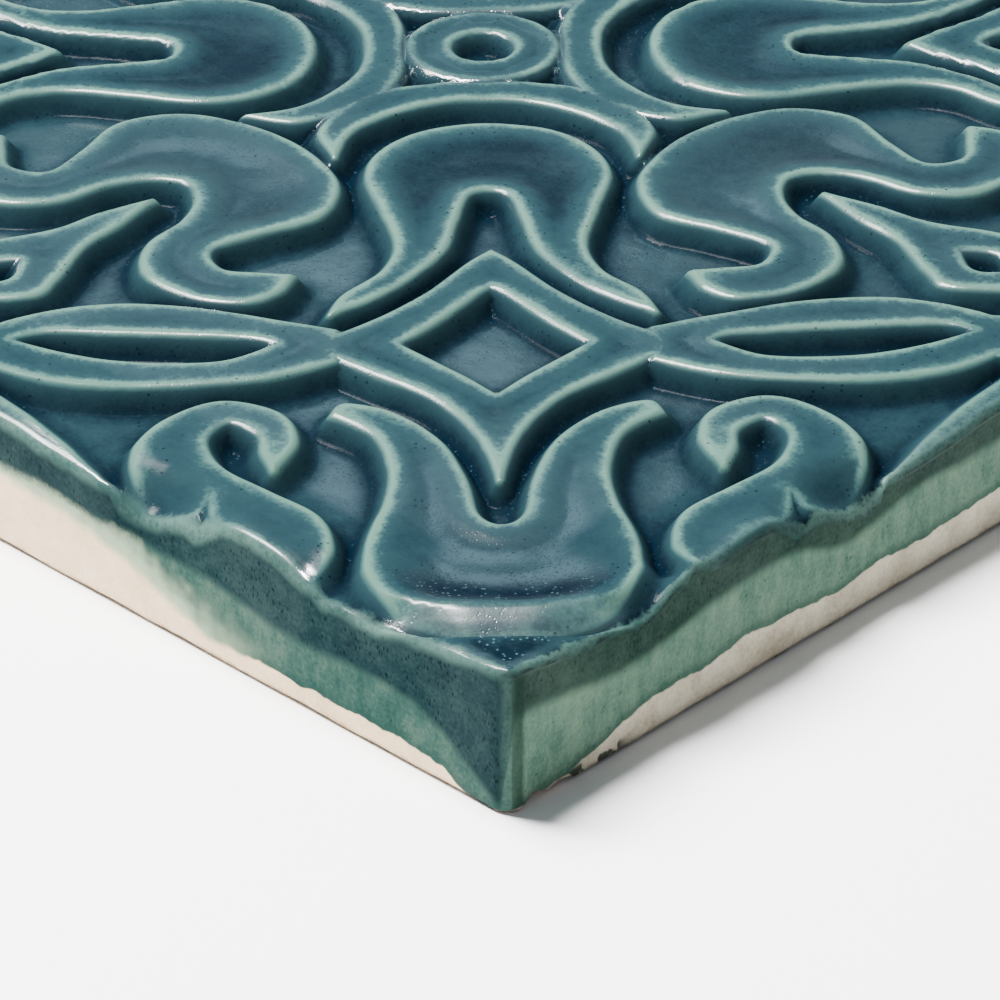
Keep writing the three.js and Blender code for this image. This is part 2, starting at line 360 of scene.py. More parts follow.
# Height of the rim over the ground along the right and the left side, from the corner to mid-side
rim = {
    "along": (0, 2, 4, 6, 8, 10.5, 13, 15.5, 17, 19.5, 22, 24, 27, 30.3, 31.4, 32.4, 33.2, 35.3, 37, 38,
              40, 42, 43.5, 45.3, 47, 50, 53, 55.5, 62, 75),
    "right": (2.0, 2.0, 1.7, 1.5, 1.2, 0.7, 0.15, 0.05, 0.5, 2.1, 2.1, 1.75, 2.3, 2.3, 1.8, 0.9, 0.4, 0.8,
              0.2, -0.6, -1.1, -0.8, -0.45, 0.05, 0.3, 0.5, 0.7, 1.15, 1.4, 1.5),
    "left": (2.0, 2.0, 1.7, 1.5, 1.2, 0.7, 0.15, 0.0, 0.1, 0.2, 0.3, 1.75, 2.3, 2.3, 1.9, 1.3, 1.0, 0.5,
             0.1, -0.6, -1.1, -0.8, -0.45, 0.05, 0.3, 0.5, 0.7, 1.15, 1.4, 1.5),
    "blend": (0.2, 4.2),      # from the edge inwards, where the rim goes over into the face
    "readAt": 0.6,            # the face's own height is read this far from the edge
    "stations": 301,
    "softening": 19,          # stations, an odd number
}


def onRight(x, y):
    return np.where(np.abs(x) >= np.abs(y), x > 0, y > 0)


def insetOf(x, y):
    return tile["side"] / 2 - np.maximum(np.abs(x), np.abs(y))


def fromCornerOf(x, y):
    return tile["side"] / 2 - np.minimum(np.abs(x), np.abs(y))


def rimBlend(x, y, height):
    station = np.linspace(0, tile["side"] / 2, rim["stations"])
    edge = np.full(station.shape, tile["side"] / 2 - rim["readAt"])
    own, _ = faceHeight(edge, station - tile["side"] / 2)
    soft = np.hanning(rim["softening"]) / np.hanning(rim["softening"]).sum()
    lifts = []
    for name in ("right", "left"):
        wanted = np.interp(station, rim["along"], rim[name])
        lift = np.convolve(np.pad(wanted - own, rim["softening"] // 2, "edge"), soft, "valid")
        lifts.append(np.interp(fromCornerOf(x, y), station, lift))
    share = 1 - smoothStep(*rim["blend"], insetOf(x, y))
    return height + np.where(onRight(x, y), lifts[0], lifts[1]) * share


def surface(x, y):
    height, crest = faceHeight(x, y)
    height = rimBlend(x, y, height)
    r = tile["rimRoll"]
    inset = np.clip(insetOf(x, y), 0, r)
    height = height - (r - np.sqrt(np.maximum(r * r - (r - inset) ** 2, 0)))
    return height + tile["ground"], crest


def blurred(field, cells):
    reach = int(3 * cells)
    weight = np.exp(-0.5 * (np.arange(-reach, reach + 1) / cells) ** 2)
    weight /= weight.sum()
    wide = np.pad(field, reach, "edge")
    wide = np.apply_along_axis(lambda row: np.convolve(row, weight, "valid"), 0, wide)
    return np.apply_along_axis(lambda row: np.convolve(row, weight, "valid"), 1, wide)


# How much lower a point lies than the face round it, within a reach in mm
def sunkMap(reaches, spacing=0.5):
    line = np.arange(-tile["side"] / 2, tile["side"] / 2 + spacing / 2, spacing)
    x, y = np.meshgrid(line, line)
    height = rimBlend(x, y, faceHeight(x, y)[0])

    def sample(field, px, py):
        u = np.clip((px + tile["side"] / 2) / spacing, 0, len(line) - 1.001)
        v = np.clip((py + tile["side"] / 2) / spacing, 0, len(line) - 1.001)
        i, j = u.astype(int), v.astype(int)
        u, v = u - i, v - j
        low = field[j, i] * (1 - u) + field[j, i + 1] * u
        high = field[j + 1, i] * (1 - u) + field[j + 1, i + 1] * u
        return low * (1 - v) + high * v

    maps = [blurred(height, reach / spacing) for reach in reaches]
    return lambda px, py, z: [sample(field, px, py) - z for field in maps]


# Mesh of the face: a grid made finer where the walls are, and finest by the near corner
meshing = {
    "cells": 144,
    "rimLines": (0.0, 0.1, 0.26, 0.5, 0.85, 1.35),     # grid lines by the rim, mm from the edge
    "rimClear": 1.0,
    "wallMiddle": -0.75,      # from the crest line, negative down the wall
    "wallReach": 1.35,
    "fineReach": 1.05,
    "fineAlong": 98.0,
    "fineAcross": 62.0,
    "cornerAlong": 15.0,
    "snapLevels": (0.3, -0.8),
    "snapShare": 0.45,        # of a vertex's shortest edge
    "snapInset": 2.2,
    "leastSlope": 0.3,
    "probe": 0.05,
}


def gridLines():
    edge = np.array(meshing["rimLines"])
    start = tile["side"] / 2 - edge[-1]
    inner = np.linspace(-start, start, meshing["cells"] - 2 * len(edge) + 3)
    return np.concatenate([edge[:-1] - tile["side"] / 2, inner, tile["side"] / 2 - edge[:-1][::-1]])


def crestAt(x, y):
    across, along = foldPoint(x, y)
    return crestOf(ornamentFields(across, along))


def places(parts):
    return np.array([part.co[:2] for part in parts]).T


def refine(bm, wanted):
    middles = np.array([face.calc_center_median()[:2] for face in bm.faces]).T
    chosen = wanted(middles[0], middles[1])
    edges = {edge for face, take in zip(list(bm.faces), chosen) if take for edge in face.edges}
    bmesh.ops.subdivide_edges(bm, edges=list(edges), cuts=1, use_grid_fill=True)
    print("refined to", len(bm.verts), "vertices")


def byWall(x, y, reach):
    return (np.abs(crestAt(x, y) - meshing["wallMiddle"]) < reach) & (insetOf(x, y) > meshing["rimClear"])


def nearWalls(x, y):
    return byWall(x, y, meshing["wallReach"])


def nearWallsInView(x, y):
    along = (tile["side"] - x + y) * diagonal
    across = (x + y) * diagonal
    inView = (along < meshing["fineAlong"]) & (np.abs(across) < meshing["fineAcross"])
    return (inView & byWall(x, y, meshing["fineReach"])) | (along < meshing["cornerAlong"])


# Vertices near the crest line or the foot of a wall are moved on to it
def snapToWalls(bm):
    verts = list(bm.verts)
    x, y = places(verts)
    crest = crestAt(x, y)
    step = meshing["probe"]
    gradX = (crestAt(x + step, y) - crest) / step
    gradY = (crestAt(x, y + step) - crest) / step
    steep = np.maximum(gradX ** 2 + gradY ** 2, meshing["leastSlope"])
    shortest = np.array([min(edge.calc_length() for edge in vert.link_edges) for vert in verts])
    room = shortest * meshing["snapShare"]
    inside = insetOf(x, y) > meshing["snapInset"]
    for level in meshing["snapLevels"]:
        gap = level - crest
        move = np.where((np.abs(gap) < room) & inside, gap, 0)
        x, y = x + move * gradX / steep, y + move * gradY / steep
    for vert, px, py in zip(verts, x, y):
        vert.co.x, vert.co.y = px, py


def splitQuads(bm, crest):
    for face in list(bm.faces):
        corners = list(face.verts)
        if len(corners) == 4:
            a, b, c, d = (crest[vert.index] for vert in corners)
            first = 0 if abs(a - c) < abs(b - d) else 1
            bmesh.utils.face_split(face, corners[first], corners[first + 2])


# The sides: the glaze is dark under the rim and ends in a wavy line above the bare foot. Rows are
# shares of the height, from the rim down, and places along a side are in mm from its corner
side = {
    "rows": (0.985, 0.955, 0.90, 0.82, 0.70, 0.55, 0.40, 0.27, 0.15, 0.06),
    "footHeight": 0.35,
    "footInset": 0.45,
    "footWave": (6.0, 2.0, 0.16),       # length, seed, height
    "footRagged": (3.0, 7.0, 0.9),
    "along": (0, 3.5, 7, 10, 13, 16, 19, 22, 27, 33, 38, 40, 46, 52, 60, 75),
    # bottom of the dark band, below the crest
    "darkRight": (4.4, 4.2, 4.4, 5.0, 5.4, 5.5, 5.0, 4.3, 3.6, 3.9, 5.4, 5.5, 4.6, 4.3, 4.0, 4.0),
    "darkLeft": (13.0, 10.4, 7.9, 6.8, 6.45, 6.55, 6.7, 6.8, 6.3, 5.3, 5.5, 5.6, 5.5, 5.2, 4.8, 4.9),
    # top of the bare foot
    "bareRight": (0.4, 0.9, 1.1, 1.5, 2.8, 3.4, 3.3, 3.3, 4.1, 3.5, 2.9, 3.0, 3.7, 3.6, 3.6, 3.6),
    "bareLeft": (0.0, 0.0, 1.7, 1.9, 2.1, 2.2, 2.2, 2.2, 2.0, 1.8, 3.2, 4.0, 5.7, 6.4, 6.9, 6.6),
    "turning": (0.4, 1.0),              # where the right side's glaze goes over into the left side's
    "wash": (24, 36),                   # where the pale wash starts on the left side
    "steep": 1.5,                       # slope that the sides count as
}


def roundCorner(x, y):
    r = tile["cornerRadius"]
    start = tile["side"] / 2 - r
    u = np.maximum(np.abs(x) - start, 0) / r
    v = np.maximum(np.abs(y) - start, 0) / r
    both = (u > 0) & (v > 0)
    newX = np.where(both, start + r * u * np.sqrt(1 - v * v / 2), np.abs(x))
    newY = np.where(both, start + r * v * np.sqrt(1 - u * u / 2), np.abs(y))
    return np.sign(x) * newX, np.sign(y) * newY


def unevenness(place, size, seed):
    return noise.noise(Vector((place.x / size, place.y / size, seed)))


# A chip in the foot of the right side, close to the near corner
chip = {
    "starts": (1.6, 2.6),     # from the corner
    "ends": (7.6, 6.2),
    "lift": 0.5,
    "depth": 1.1,
    "ragged": (1.3, 3.0, 1.3),
}


def chipDepth(place):
    way = place.y + tile["side"] / 2
    if place.x < tile["side"] / 2 - chip["starts"][1] or way > chip["ends"][0]:
        return 0.0
    depth = float(smoothStep(*chip["starts"], way) * smoothStep(*chip["ends"], way))
    size, seed, share = chip["ragged"]
    return depth * (1 + share * unevenness(place, size, seed))


def addSides(bm, drop):
    rimEdges = [edge for edge in bm.edges if edge.is_boundary]
    started = {}
    waveSize, waveSeed, waveHeight = side["footWave"]
    raggedSize, raggedSeed, ragged = side["footRagged"]
    for share in side["rows"] + (0.0,):
        made = bmesh.ops.extrude_edge_only(bm, edges=rimEdges)["geom"]
        rimEdges = [part for part in made if isinstance(part, bmesh.types.BMEdge)]
        for vert in {v for edge in rimEdges for v in edge.verts}:
            key = (round(vert.co.x, 4), round(vert.co.y, 4))
            start = started.setdefault(key, vert.co.z)
            low = (side["footHeight"] + waveHeight * unevenness(vert.co, waveSize, waveSeed)
                   + chip["lift"] * chipDepth(vert.co))
            vert.co.z = low + (start - low) * share
            vert[drop] = start - vert.co.z
    made = bmesh.ops.extrude_edge_only(bm, edges=rimEdges)["geom"]
    rimEdges = [part for part in made if isinstance(part, bmesh.types.BMEdge)]
    for vert in {v for edge in rimEdges for v in edge.verts}:
        inwards = (side["footInset"] * (1 + ragged * unevenness(vert.co, raggedSize, raggedSeed))
                   + chip["depth"] * chipDepth(vert.co))
        shrink = 1 - inwards / (tile["side"] / 2)
        vert.co.x *= shrink
        vert.co.y *= shrink
        vert.co.z = 0
    bmesh.ops.edgeloop_fill(bm, edges=rimEdges)


# Where the glaze lies deep behind the corner tulip's front and on the spandrel, and thin on the front
pool = {
    "across": 8.0,
    "along": 12.3,
    "bend": 0.02,
    "width": 1.9,
    "inTulip": (0.3, 1.8),
    "spandrel": (6.8, 5.2),
    "spandrelInset": (0.9, 1.9),
    "spandrelShare": 0.8,
    "thinAlong": (12.5, 10.0),
    "thinInset": (-0.8, 0.0),
}
sunkReaches = (2.4, 0.8)


def glazeLayers(x, y):
    across, along = foldPoint(x, y)
    inTulip = outlineField(across, along, cornerTulip)[0]
    off = np.abs(along - pool["along"] - across ** 2 * pool["bend"]) / pool["width"]
    deep = smoothStep(*pool["inTulip"], inTulip) * np.exp(-(across / pool["across"]) ** 4 - off ** 2.5)
    byCorner = smoothStep(*pool["spandrel"], along) * smoothStep(*pool["spandrelInset"], insetOf(x, y))
    thin = smoothStep(*pool["thinAlong"], along) * smoothStep(*pool["thinInset"], inTulip)
    return np.maximum(deep, pool["spandrelShare"] * byCorner), thin


def buildTile():
    bm = bmesh.new()
    cells = meshing["cells"]
    bmesh.ops.create_grid(bm, x_segments=cells, y_segments=cells, size=0.5)
    names = ("crestDistance", "sunk", "closeSunk", "slopeX", "slopeY", "inset", "pool", "thinFront", "drop")
    layers = {name: bm.verts.layers.float.new(name) for name in names}
    lines = gridLines()
    for vert in bm.verts:
        vert.co.x = lines[round((vert.co.x + 0.5) * cells)]
        vert.co.y = lines[round((vert.co.y + 0.5) * cells)]
    refine(bm, nearWalls)
    refine(bm, nearWallsInView)
    snapToWalls(bm)
    bm.verts.index_update()
    verts = list(bm.verts)
    x, y = places(verts)
    z, crest = surface(x, y)
    splitQuads(bm, crest)
    step = meshing["probe"]
    slopeX = (surface(x + step, y)[0] - z) / step
    slopeY = (surface(x, y + step)[0] - z) / step
    wide, close = sunkMap(sunkReaches)(x, y, z - tile["ground"])
    deep, thin = glazeLayers(x, y)
    roundX, roundY = roundCorner(x, y)
    values = zip(verts, roundX, roundY, z, crest, wide, close, slopeX, slopeY, insetOf(x, y), deep, thin)
    for vert, px, py, pz, *rest in values:
        vert.co = (px, py, pz)
        for name, value in zip(names, rest):
            vert[layers[name]] = value
    addSides(bm, layers["drop"])
    bmesh.ops.recalc_face_normals(bm, faces=bm.faces)
    bmesh.ops.scale(bm, vec=(mm, mm, mm), verts=bm.verts)
    data = bpy.data.meshes.new("glazedTile")
    bm.to_mesh(data)
    bm.free()
    finishMesh(data)
    piece = bpy.data.objects.new("glazedTile", data)
    bpy.context.collection.objects.link(piece)
    print("tile", sum(len(p.vertices) - 2 for p in data.polygons), "triangles")
    return piece


def readLayer(data, name):
    values = np.zeros(len(data.vertices))
    data.attributes[name].data.foreach_get("value", values)
    return values


def addLayer(data, name, values):
    layer = data.attributes.new(name, "FLOAT", "POINT")
    layer.data.foreach_set("value", np.asarray(values, np.float32))


def finishMesh(data):
    data.polygons.foreach_set("use_smooth", [len(p.vertices) < 5 for p in data.polygons])
    place = np.zeros(len(data.vertices) * 3)
    data.vertices.foreach_get("co", place)
    x, y, z = place.reshape(-1, 3).T / mm
    # face vertices take the exact slope of the surface as their normal
    normals = np.array([tuple(n.vector) for n in data.vertex_normals])
    slopes = np.stack([-readLayer(data, "slopeX"), -readLayer(data, "slopeY"), np.ones(len(x))], 1)
    slopes /= np.linalg.norm(slopes, axis=1)[:, None]
    onFace = (readLayer(data, "drop") == 0) & (readLayer(data, "inset") > tile["rimRoll"] + 0.1)
    normals[onFace] = slopes[onFace]
    data.normals_split_custom_set_from_vertices(normals.tolist())
    # where the dark band and the bare foot begin on the sides, blended over the upright corner
    fromCorner = fromCornerOf(x, y)
    turned = smoothStep(*side["turning"], fromCorner) * 0.5
    right = np.where(onRight(x, y), 0.5 + turned, 0.5 - turned)

    def line(name):
        return (right * np.interp(fromCorner, side["along"], side[name + "Right"])
                + (1 - right) * np.interp(fromCorner, side["along"], side[name + "Left"]))

    addLayer(data, "overDark", z - (tile["ground"] + tile["relief"] - line("dark")))
    addLayer(data, "overBare", z - line("bare"))
    addLayer(data, "fromCorner", fromCorner)
    addLayer(data, "rightSide", right)
    addLayer(data, "fromDiagonal", np.abs(np.abs(x) - np.abs(y)))
    addLayer(data, "wash", (1 - right) * smoothStep(*side["wash"], fromCorner))
    steep = np.hypot(readLayer(data, "slopeX"), readLayer(data, "slopeY"))
    addLayer(data, "steep", np.where(readLayer(data, "drop") > 0, side["steep"], steep))
    # way over the rolled rim, positive on the face and negative on the side
    r, inset, drop = tile["rimRoll"], readLayer(data, "inset"), readLayer(data, "drop")
    overFace = r * (np.arccos(np.clip(1 - inset / r, 0, 1)) - math.pi / 4) + np.maximum(inset - r, 0)
    addLayer(data, "overRim", np.where(drop > 0, -r * math.pi / 4 - drop, overFace))


# Glaze and bare clay. A ramp is given as places from 0 to 1, each with its colour
glaze = {
    # from thin glaze on the crests to deep glaze in the hollows
    "face": ((0.0, (0.044, 0.092, 0.074)), (0.14, (0.0235, 0.053, 0.051)),
             (0.30, (0.0090, 0.0225, 0.0265)), (0.52, (0.0060, 0.0160, 0.0205)),
             (0.76, (0.0024, 0.0064, 0.0100)), (1.0, (0.0008, 0.0034, 0.0070))),
    "bubble": (0.035, 0.075, 0.085),
    "hole": (0.001, 0.004, 0.007),
    "darkLeft": ((0.3, (0.0050, 0.0145, 0.0165)), (0.5, (0.0095, 0.0230, 0.0255)),
                 (0.7, (0.0170, 0.0350, 0.0350))),
    "darkRight": ((0.3, (0.0100, 0.0225, 0.0180)), (0.5, (0.0170, 0.0335, 0.0265)),
                  (0.7, (0.0250, 0.0440, 0.0350))),
    "pit": (0.0010, 0.0036, 0.0042),
    "sageLeft": ((0.25, (0.015, 0.042, 0.036)), (0.5, (0.030, 0.066, 0.054)),
                 (0.75, (0.058, 0.098, 0.076))),
    "sageRight": ((0.25, (0.038, 0.080, 0.060)), (0.5, (0.066, 0.118, 0.086)),
                  (0.75, (0.094, 0.148, 0.106))),
    "sageHole": (0.004, 0.018, 0.014),
    "besideCorner": (0.0045, 0.0145, 0.0105),
    "hem": (0.008, 0.032, 0.028),
    "thin": ((0.3, (0.022, 0.052, 0.046)), (0.7, (0.055, 0.100, 0.084))),
    "wash": (0.30, 0.38, 0.26),
    "clayLeft": ((0.25, (0.60, 0.44, 0.28)), (0.5, (0.74, 0.55, 0.36)), (0.75, (0.84, 0.66, 0.46))),
    # the right side's bare clay is the same clay as the left's, painted greyer and darker: painted cool
    # shade
    "shadedClayRight": ((0.25, (0.28, 0.25, 0.185)), (0.5, (0.42, 0.38, 0.29)), (0.75, (0.56, 0.51, 0.41))),
    "chip": ((0.3, (0.24, 0.17, 0.12)), (0.5, (0.46, 0.34, 0.26)), (0.7, (0.62, 0.49, 0.40))),
    "drop": (0.006, 0.022, 0.018),
    # painted contact shadow along the bottom of the foot
    "foot": (0.055, 0.038, 0.03),
}
# Scale, detail and roughness of each noise
patterns = {
    "broad": (48, 2, 0.55), "cloud": (110, 4, 0.55), "grain": (650, 3, 0.55), "fine": (2600, 3, 0.65),
    "mottle": (330, 4, 0.7), "foam": (700, 2, 0.55), "holeGroups": (300, 2, 0.55),
    "streaks": (620, 4, 0.65), "pitGroups": (330, 2, 0.55), "footLine": (160, 3, 0.55),
    "earth": (240, 5, 0.65), "drops": (520, 2, 0.55),
    "swell": (420, 2, 0.55), "dimples": (1000, 2, 0.55), "clayGrain": (2300, 4, 0.55),
}
# Scale and size of the small round marks
marks = {"bubbles": (2100, 0.30), "holes": (1300, 0.22), "pits": (2900, 0.34)}
# How the glaze shines: its strength on level ground and on the walls, and factors on that elsewhere.
# Four numbers are where a stretch starts, is full, is full no longer and ends
lustre = {
    "level": 0.30,
    "wall": 0.05,
    "wallSlope": (0.75, 1.45),
    "crestRoll": 3.3,
    "rollSlope": (0.10, 0.30, 0.7, 1.1),
    "side": 0.1,
    "foot": 0.02,
    "top": 0.32,
    "innerTop": 0.1,
    "quiet": 0.05,
    # stretches of the edge with no highlights, in mm from the corner
    "quietPlaces": ((28.5, 31.5, 40.6, 41.6), (16.5, 18.5, 21.6, 23.0)),
    "quietOnRight": (40.0, 41.0, 44.5, 46.0),
    "quietInset": (12.0, 8.0),
    "rimSlope": 0.05,
    "ior": 1.5,
    "bareRoughness": 0.85,
    "bumpStrength": 0.28,
    "bumpDistance": 0.0001,
}


# Nodes of one material. A socket's value is a number, a colour or another node's output
class Nodes:
    def __init__(self, name):
        self.material = bpy.data.materials.new(name)
        self.material.use_nodes = True
        self.tree = self.material.node_tree
        self.shader = self.tree.nodes["Principled BSDF"]
        self.place = self.tree.nodes.new("ShaderNodeTexCoord").outputs["Object"]
        self.made = {}

    def put(self, socket, value):
        if isinstance(value, bpy.types.NodeSocket):
            self.tree.links.new(value, socket)
        elif isinstance(value, tuple) and len(value) == 3:
            socket.default_value = (*value, 1)
        else:
            socket.default_value = value

    def math(self, operation, a, b=0.0, c=0.0):
        node = self.tree.nodes.new("ShaderNodeMath")
        node.operation = operation
        for socket, value in zip(node.inputs, (a, b, c)):
            self.put(socket, value)
        return node.outputs[0]

    def times(self, *values):
        product = values[0]
        for value in values[1:]:
            product = self.math("MULTIPLY", product, value)
        return product

    def most(self, a, b):
        return self.math("MAXIMUM", a, b)

    def plus(self, value, share, amount):
        return self.math("MULTIPLY_ADD", share, amount, value)

    # Moves a value to and fro by one or more noises
    def jitter(self, value, *noises):
        for source, amount in noises:
            value = self.plus(value, self.math("SUBTRACT", self.noise(source), 0.5), amount)
        return value

    def attribute(self, name):
        if name not in self.made:
            node = self.tree.nodes.new("ShaderNodeAttribute")
            node.attribute_name = name
            self.made[name] = node.outputs["Fac"]
        return self.made[name]

    def noise(self, name, place=None):
        if name not in self.made:
            node = self.tree.nodes.new("ShaderNodeTexNoise")
            self.put(node.inputs["Vector"], place or self.place)
            for socket, value in zip(("Scale", "Detail", "Roughness"), patterns[name]):
                node.inputs[socket].default_value = value
            self.made[name] = node.outputs["Fac"]
        return self.made[name]

    def specks(self, name, groups, place=None):
        scale, size = marks[name]
        cells = self.tree.nodes.new("ShaderNodeTexVoronoi")
        self.put(cells.inputs["Vector"], place or self.place)
        cells.inputs["Scale"].default_value = scale
        return self.times(self.spread(cells.outputs["Distance"], size, size * 0.45), groups)

    # From toLow at low to toHigh at high, levelled off beyond both
    def spread(self, value, low, high, toLow=0.0, toHigh=1.0):
        node = self.tree.nodes.new("ShaderNodeMapRange")
        node.interpolation_type = "SMOOTHSTEP"
        for name, entry in (("Value", value), ("From Min", low), ("From Max", high),
                            ("To Min", toLow), ("To Max", toHigh)):
            self.put(node.inputs[name], entry)
        return node.outputs["Result"]

    # One from full to fullEnd, nought before low and after high
    def between(self, value, low, full, fullEnd, high):
        return self.times(self.spread(value, low, full), self.spread(value, high, fullEnd))

    # A strength as it is where the share is nought, and times a factor where it is one
    def scaled(self, strength, share, factor):
        return self.times(strength, self.spread(share, 0.0, 1.0, 1.0, factor))

    def ramp(self, value, stops):
        node = self.tree.nodes.new("ShaderNodeValToRGB")
        self.put(node.inputs["Fac"], value)
        elements = node.color_ramp.elements
        for element, (place, colour) in zip(elements, stops[:2]):
            element.position, element.color = place, (*colour, 1)
        for place, colour in stops[2:]:
            elements.new(place).color = (*colour, 1)
        return node.outputs["Color"]

    def mix(self, share, a, b):
        node = self.tree.nodes.new("ShaderNodeMix")
        node.data_type = "RGBA"
        self.put(node.inputs[0], share)
        self.put(node.inputs[6], a)
        self.put(node.inputs[7], b)
        return node.outputs[2]


# Tops of the ornaments away from the near corner, where the glaze pools and hardly shines
def innerTops(m):
    tops = m.times(m.spread(m.attribute("crestDistance"), 0.2, 1.2),
                   m.spread(m.attribute("fromCorner"), 23.0, 31.0),
                   m.spread(m.attribute("inset"), 12.0, 18.0))
    return m.times(tops, m.spread(m.attribute("fromDiagonal"), 12.0, 20.0, 1.0, 0.45))


def faceColour(m, tops, holes):
    crest, pooled = m.attribute("crestDistance"), m.attribute("pool")
    depth = m.plus(0.50, m.attribute("sunk"), 0.17)
    depth = m.plus(depth, m.attribute("closeSunk"), 0.40)
    depth = m.plus(depth, m.times(pooled, m.spread(m.noise("mottle"), 0.35, 0.60, 0.62, 1.0)), 0.48)
    depth = m.plus(depth, m.times(tops, m.spread(crest, 1.2, 3.6)), 0.16)
    depth = m.plus(depth, m.attribute("thinFront"), -0.16)
    # the glaze runs thin on the crests, most of all on a narrow line
    inwards = m.jitter(crest, ("grain", 0.6), ("fine", 0.22))
    core = m.spread(m.math("ABSOLUTE", m.math("SUBTRACT", inwards, 0.2)), 0.75, 0.0)
    thin = m.plus(m.times(core, 0.52), m.spread(inwards, 2.4, 0.3), 0.45)
    thin = m.times(thin, m.spread(inwards, -0.75, 0.05), m.jitter(0.90, ("cloud", 1.6), ("broad", 2.1)))
    depth = m.plus(depth, thin, -0.33)
    depth = m.jitter(depth, ("cloud", 0.34), ("grain", 0.20), ("broad", 0.26), ("fine", 0.16))
    colour = m.ramp(depth, glaze["face"])
    # small pale bubbles where the glaze lies deep, and dark holes in it
    foaming = m.plus(m.times(pooled, 0.9), m.spread(m.attribute("fromCorner"), 9.0, 6.0), 0.35)
    bubbles = m.times(m.specks("bubbles", m.spread(m.noise("foam"), 0.38, 0.54)),
                      m.most(foaming, m.spread(depth, 0.70, 1.0, 0.0, 0.4)))
    colour = m.mix(m.times(bubbles, 0.6), colour, glaze["bubble"])
    return m.mix(m.times(holes, 0.75), colour, glaze["hole"])


# Pale glaze on the rim and down the upright corner
def thinColour(m):
    return m.ramp(m.jitter(m.noise("cloud"), ("grain", 0.4), ("fine", 0.8)), glaze["thin"])


def glazedSides(m, holes, pits, footLine):
    right, wash, fromCorner = m.attribute("rightSide"), m.attribute("wash"), m.attribute("fromCorner")
    tone = m.jitter(m.noise("cloud"), ("grain", 0.5), ("fine", 0.6))
    dark = m.mix(right, m.ramp(tone, glaze["darkLeft"]), m.ramp(tone, glaze["darkRight"]))
    dark = m.mix(m.times(pits, m.spread(right, 0.0, 1.0, 0.7, 0.4)), dark, glaze["pit"])
    shade = m.jitter(m.noise("streaks"), ("cloud", 0.5), ("fine", 0.7))
    sage = m.mix(right, m.ramp(shade, glaze["sageLeft"]), m.ramp(shade, glaze["sageRight"]))
    sage = m.mix(m.times(holes, 0.5), sage, glaze["sageHole"])
    washed = m.jitter(m.attribute("overBare"), ("cloud", 4.4), ("grain", 3.0))
    sage = m.mix(m.times(m.spread(washed, 3.9, 0.0), wash, 0.85), sage, glaze["wash"])
    darkLine = m.jitter(m.attribute("overDark"), ("cloud", 2.2), ("fine", 0.8))
    colour = m.mix(m.spread(darkLine, -0.8, 0.5), sage, dark)
    # a dark line runs down beside the upright corner, which is pale itself
    beside = m.times(m.spread(m.jitter(fromCorner, ("cloud", 0.8)), 2.0, 1.4), m.spread(right, 0.66, 0.85))
    colour = m.mix(m.times(beside, m.jitter(0.75, ("cloud", 1.0))), colour, glaze["besideCorner"])
    # the glaze is thicker and darker just above its lower edge
    hem = m.times(m.between(footLine, -0.15, 0.15, 0.2, 1.2), m.spread(wash, 0.6, 0.0))
    colour = m.mix(m.times(hem, 0.45), colour, glaze["hem"])
    upright = m.times(m.spread(m.jitter(fromCorner, ("grain", 0.7), ("fine", 0.6)), 1.15, 0.55),
                      m.spread(m.attribute("overRim"), 0.2, -0.8))
    return m.mix(m.times(upright, m.jitter(0.6, ("cloud", 1.2))), colour, thinColour(m))


def clayColour(m):
    right, fromCorner = m.attribute("rightSide"), m.attribute("fromCorner")
    earth = m.jitter(m.noise("earth"), ("cloud", 0.5), ("fine", 0.5))
    # the left side takes the clay as lit, the right side the same clay in painted cool shade
    clay = m.mix(right, m.ramp(earth, glaze["clayLeft"]), m.ramp(earth, glaze["shadedClayRight"]))
    chipped = m.times(m.spread(m.jitter(fromCorner, ("grain", 2.0)), 8.2, 6.4), m.spread(right, 0.8, 1.0))
    clay = m.mix(m.times(chipped, 0.8), clay, m.ramp(earth, glaze["chip"]))
    upward = m.tree.nodes.new("ShaderNodeSeparateXYZ")
    m.put(upward.inputs[0], m.place)
    height = upward.outputs["Z"]
    # drops of glaze on the foot of the right side
    drops = m.times(m.between(fromCorner, 4.5, 6.0, 12.0, 14.5), m.spread(right, 0.9, 1.0),
                    m.spread(height, 0.0016, 0.0009), m.spread(m.noise("drops"), 0.50, 0.56))
    clay = m.mix(m.times(drops, 0.9), clay, glaze["drop"])
    # painted contact shadow: the clay turns dark brown in the lowest 0.6 mm, where the tile meets the floor
    foot = m.spread(m.jitter(m.times(height, 1000.0), ("grain", 0.5)), 0.62, 0.25)
    return m.mix(m.times(foot, 0.7), clay, glaze["foot"])


def lipShare(m):
    overLip = m.math("ABSOLUTE", m.math("ADD", m.attribute("overRim"), 0.05))
    width = m.spread(m.attribute("rightSide"), 0.0, 1.0, 1.0, 0.6)
    lip = m.spread(m.math("DIVIDE", m.jitter(overLip, ("grain", 1.1), ("fine", 0.6)), width), 1.0, 0.2)
    return m.math("MINIMUM", m.times(lip, m.jitter(0.8, ("cloud", 1.2), ("broad", 1.0))), 1.0)


